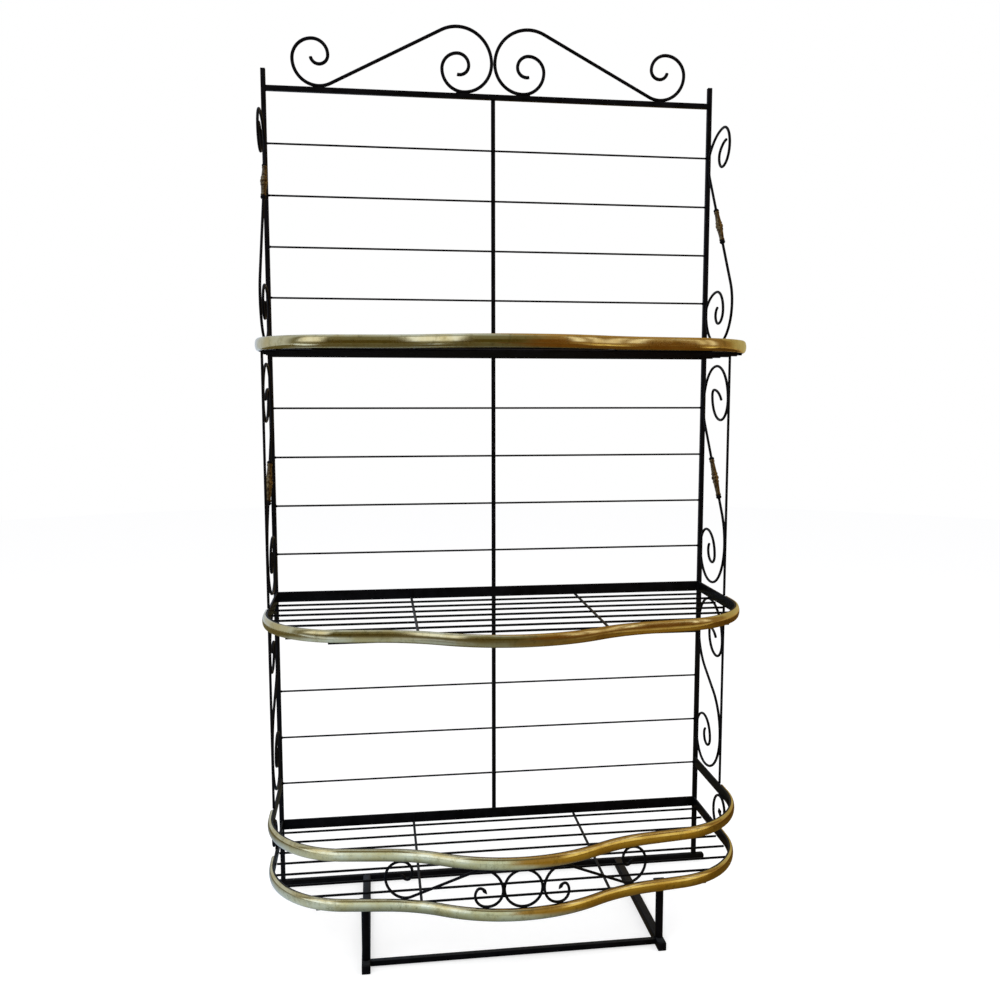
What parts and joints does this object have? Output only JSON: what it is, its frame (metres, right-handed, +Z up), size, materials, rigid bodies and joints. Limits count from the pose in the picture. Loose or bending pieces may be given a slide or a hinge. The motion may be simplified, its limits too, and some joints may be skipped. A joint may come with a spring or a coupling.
{
  "type": "bakers rack",
  "caption": "Tall open bakers rack of black iron bar with bow-fronted wire shelves trimmed in brass, scrolled sides and crest, and a gallery rail above the lowest shelf.",
  "frame": {"origin": "on the floor, in the middle of the overall width and depth", "axes": "+Z up, -Y to the front, +X to the rack's right as seen from the front"},
  "size_m": [1.136, 0.5276, 2.1142],
  "materials": {
    "iron": "satin black enamel on wrought bar",
    "brass": "polished, slightly aged"
  },
  "bodies": {
    "root": {"apron_ring": "iron", "apron_scroll_left": "iron", "apron_scroll_right": "iron", "back_rods_lower": "iron", "back_rods_middle": "iron", "back_rods_upper": "iron", "base_crossbar": "iron", "base_end_cap_left": "iron", "base_end_cap_right": "iron", "base_rear_rail": "iron", "brass_collar_middle_left": "brass", "brass_collar_middle_right": "brass", "brass_collar_upper_left": "brass", "brass_collar_upper_right": "brass", "centre_bar": "iron", "crest_scroll_left": "iron", "crest_scroll_right": "iron", "front_post_lower_left": "iron", "front_post_lower_right": "iron", "front_post_upper_left": "iron", "front_post_upper_right": "iron", "gallery_brass_trim": "brass", "gallery_frame_bar": "iron", "gallery_side_scroll_left": "iron", "gallery_side_scroll_right": "iron", "leg_left": "iron", "leg_plates": "iron", "leg_right": "iron", "runner_cap_left": "iron", "runner_cap_right": "iron", "runner_left": "iron", "runner_right": "iron", "shelf_bottom_brass_trim": "brass", "shelf_bottom_crossbars": "iron", "shelf_bottom_frame_bar": "iron", "shelf_bottom_grid_rods": "iron", "shelf_bottom_rear_rail": "iron", "shelf_middle_brass_trim": "brass", "shelf_middle_crossbars": "iron", "shelf_middle_frame_bar": "iron", "shelf_middle_grid_rods": "iron", "shelf_middle_rear_rail": "iron", "shelf_top_brass_trim": "brass", "shelf_top_crossbars": "iron", "shelf_top_frame_bar": "iron", "shelf_top_grid_rods": "iron", "shelf_top_rear_rail": "iron", "side_scroll_lower_left": "iron", "side_scroll_lower_right": "iron", "side_scroll_middle_left": "iron", "side_scroll_middle_right": "iron", "side_scroll_upper_left": "iron", "side_scroll_upper_right": "iron", "top_rail": "iron", "upright_left": "iron", "upright_right": "iron"}
  },
  "joints": []
}
